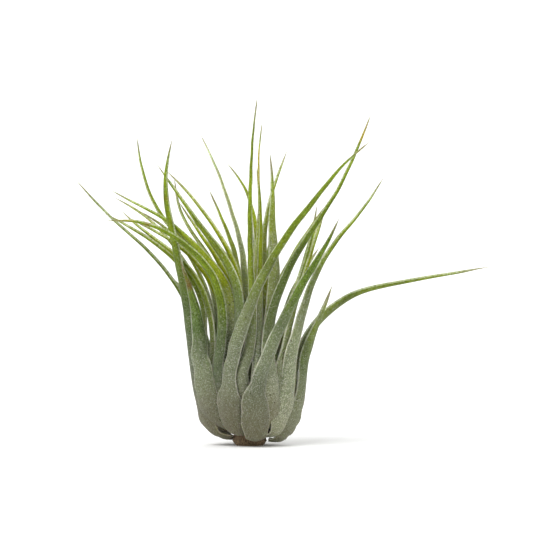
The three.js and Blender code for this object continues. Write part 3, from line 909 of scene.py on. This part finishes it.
leaf_rows = {}
for rank, name in enumerate(leaf_names):
    dice = random.Random(LEAF_SEED + rank)
    points, faces, skin, notes, leaf_rows[name] = grow_leaf(name, read_run(name), rank, dice)
    piece = new_piece(name + "_grown", points, faces)
    mesh = piece.data
    for key in notes[0]:
        mesh.attributes.new(key, "FLOAT", "POINT").data.foreach_set("value", [note[key] for note in notes])
    shift = (dice.uniform(0, SKIN_SHIFT), dice.uniform(0, SKIN_SHIFT))
    flat = [c + shift[i] for face in skin for corner in face for i, c in enumerate(corner)]
    mesh.uv_layers.new(name="skin_mm").data.foreach_set("uv", flat)
    mesh.materials.append(skins[slot_of[name]])
    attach(piece, "root")
    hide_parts(name)


# ---- Scales ------------------------------------------------------------------------------------------------
# The silver scales that stand proud of a leaf, like tiny pointed wings. They fringe its margins and roughen
# its back, thickest on the sheath. Each is a thin closed wedge, rooted in the skin and pointing to the tip.
SCALE_SEED = 5000
# A full-grown scale, and how deep its root sits in the skin.
SCALE_LENGTH = 0.36 * MM
SCALE_WIDTH = 0.17 * MM
SCALE_LIFT = 0.10 * MM
SCALE_ROOT = 0.04 * MM
# How single scales differ from it: in size, lift, turn in radians and rise.
SCALE_SIZES = (0.5, 0.95)
SCALE_LIFTS = (0.5, 1.4)
SCALE_TURN = 0.6
SCALE_RAISE = (0.0, 0.25)
# How many stand along a margin and on the sheath's back, and where they lean out or stop.
MARGIN_SCALES_PER_MM = 2.4
MARGIN_FLARE = (-0.4, 0.6)
BACK_SCALES_PER_MM2 = 0.45
BACK_REACH = 0.95
# Where they start and end along the leaf, and the share of them that is gone by the end.
FIRST_SCALY_STATION = 2
THINNED_FROM = 0.15
SCALES_TO = 0.78
THINNED = 0.75
SILVER_GRAINS_PER_METRE = 2500.0
SCALE_DULL = srgb(104, 107, 88)
SCALE_PALE = srgb(150, 152, 134)
WEDGE_FACES = ((2, 1, 0), (1, 3, 0), (2, 3, 1), (0, 3, 2))


def scale_wedge(root, towards_tip, outwards, dice):
    """Four corners of one scale: two sunk in the skin, one above and behind them, and its raised point."""
    size = dice.uniform(*SCALE_SIZES)
    sideways = towards_tip.cross(outwards).normalized()
    turn = dice.uniform(-SCALE_TURN, SCALE_TURN)
    heading = towards_tip * math.cos(turn) + sideways * math.sin(turn)
    wing = heading.cross(outwards).normalized() * (SCALE_WIDTH * size / 2)
    low = root - outwards * SCALE_ROOT
    lift = outwards * (SCALE_LIFT * size * dice.uniform(*SCALE_LIFTS))
    behind = root + lift * 0.5 - heading * SCALE_ROOT
    point = root + heading * (SCALE_LENGTH * size) + lift
    return [low + wing, low - wing, behind, point]


def about(wanted, dice):
    """A whole number that comes to the wanted one on average."""
    return int(wanted) + (dice.random() < wanted % 1)


def scales_of(rows, dice):
    """Every wedge that stands on one leaf, as corners and faces."""
    points, faces = [], []
    count = len(rows) - 1
    step = (rows[1]["middle"] - rows[0]["middle"]).length
    for k in range(FIRST_SCALY_STATION, round(count * SCALES_TO)):
        s = rows[k]
        half = s["width"] / 2
        thinning = 1 - THINNED * ease(THINNED_FROM, SCALES_TO, k / count)
        on_sheath = 1 - ease(SILVER_TO, GREEN_FROM, s["middle"].z)
        spots = []
        for a in (-1, 1):
            wanted = MARGIN_SCALES_PER_MM * step / MM * thinning
            spots += [(a, 0)] * about(wanted, dice)
        wanted = BACK_SCALES_PER_MM2 * (step / MM) * (s["width"] / MM) * on_sheath
        spots += [(dice.uniform(-BACK_REACH, BACK_REACH), 1) for _ in range(about(wanted, dice))]
        for a, on_back in spots:
            ahead = s["along"] * (dice.uniform(-0.5, 0.5) * step)
            lift = channel_at(s, a)
            if on_back:
                lift -= thickness_at(s, a) / 2
                outwards = (s["across"] * (CHANNEL_POWER * s["sag"] * a / half) - s["inner"]).normalized()
            else:
                outwards = (s["across"] * a + s["inner"] * dice.uniform(*MARGIN_FLARE)).normalized()
            root = s["middle"] + ahead + s["across"] * (a * half) + s["inner"] * lift
            heading = (s["along"] + outwards * dice.uniform(*SCALE_RAISE)).normalized()
            base = len(points)
            points += scale_wedge(root, heading, outwards, dice)
            faces += [tuple(base + i for i in face) for face in WEDGE_FACES]
    return points, faces


material, tree, surface = shader("scale_silver", 0.55)
g = Graph(tree)
place = g.add("ShaderNodeTexCoord").outputs["Object"]
dull = g.noise(place, SILVER_GRAINS_PER_METRE, 2.0)
surface.inputs["Sheen Weight"].default_value = 0.3
surface.inputs["Subsurface Weight"].default_value = 0.3
surface.inputs["Subsurface Scale"].default_value = 0.0003
g.put(surface.inputs["Base Color"], g.blend(g.ramp(dull, 0.3, 0.7), SCALE_DULL, SCALE_PALE))
g.put(surface.inputs["Normal"], g.bump(dull, 0.4, 0.00005))
for rank, name in enumerate(leaf_names):
    points, faces = scales_of(leaf_rows[name], random.Random(SCALE_SEED + rank))
    piece = new_piece(name + "_scales", points, faces, smooth=False)
    piece.data.materials.append(material)
    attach(piece, "root")


# ---- Floor, light and camera -------------------------------------------------------------------------------
# A plain white table with soft light from above, left and front, and a long lens at the photograph's height.
FLOOR_REACH = 30
FLOOR_WHITE = (0.92, 0.92, 0.92, 1)
SKY_LIGHT = 0.63
SKY_SEEN = 1.05
corners = [(x * FLOOR_REACH, y * FLOOR_REACH, 0) for x, y in ((-1, -1), (1, -1), (1, 1), (-1, 1))]
floor = new_piece("floor", corners, [(0, 1, 2, 3)], smooth=False)
material, tree, surface = shader("floor_white", 0.9)
surface.inputs["Base Color"].default_value = FLOOR_WHITE
floor.data.materials.append(material)

world = bpy.data.worlds.new("studio")
world.use_nodes = True
bpy.context.scene.world = world
g = Graph(world.node_tree)
seen = g.add("ShaderNodeLightPath").outputs["Is Camera Ray"]
sky = world.node_tree.nodes["Background"]
g.put(sky.inputs[0], (1.0, 1.0, 1.0, 1.0))
g.put(sky.inputs[1], g.ramp(seen, 0.0, 1.0, SKY_LIGHT, SKY_SEEN))


def soft_sun(name, towards, strength, spread):
    """A wide sun that shines towards a direction, with its spread in degrees."""
    data = bpy.data.lights.new(name, "SUN")
    data.energy = strength
    data.angle = math.radians(spread)
    light = bpy.data.objects.new(name, data)
    light.rotation_euler = Vector(towards).to_track_quat("-Z", "Y").to_euler()
    bpy.context.scene.collection.objects.link(light)


soft_sun("key_light", towards=(0.40, 0.50, -0.78), strength=2.4, spread=45)
soft_sun("fill_light", towards=(-0.8, 0.5, -0.35), strength=0.5, spread=60)
soft_sun("back_light", towards=(-0.25, -0.75, -0.60), strength=1.1, spread=60)

LOOK_AT = Vector((5.1, 0, 53.7)) * MM
VIEW_WIDTH = 159.9 * MM
CAMERA_AWAY = 1.8
CAMERA_TILT = math.radians(2)
SENSOR_WIDTH = 36
CAMERA_SEES_TO = 20
data = bpy.data.cameras.new("camera")
data.sensor_width = SENSOR_WIDTH
data.lens = SENSOR_WIDTH * CAMERA_AWAY / VIEW_WIDTH
data.clip_end = CAMERA_SEES_TO
camera = bpy.data.objects.new("camera", data)
camera.location = LOOK_AT + Vector((0, -math.cos(CAMERA_TILT), math.sin(CAMERA_TILT))) * CAMERA_AWAY
camera.rotation_euler = (math.pi / 2 - CAMERA_TILT, 0, 0)
bpy.context.scene.collection.objects.link(camera)
bpy.context.scene.camera = camera
bpy.context.scene.view_settings.view_transform = "Standard"
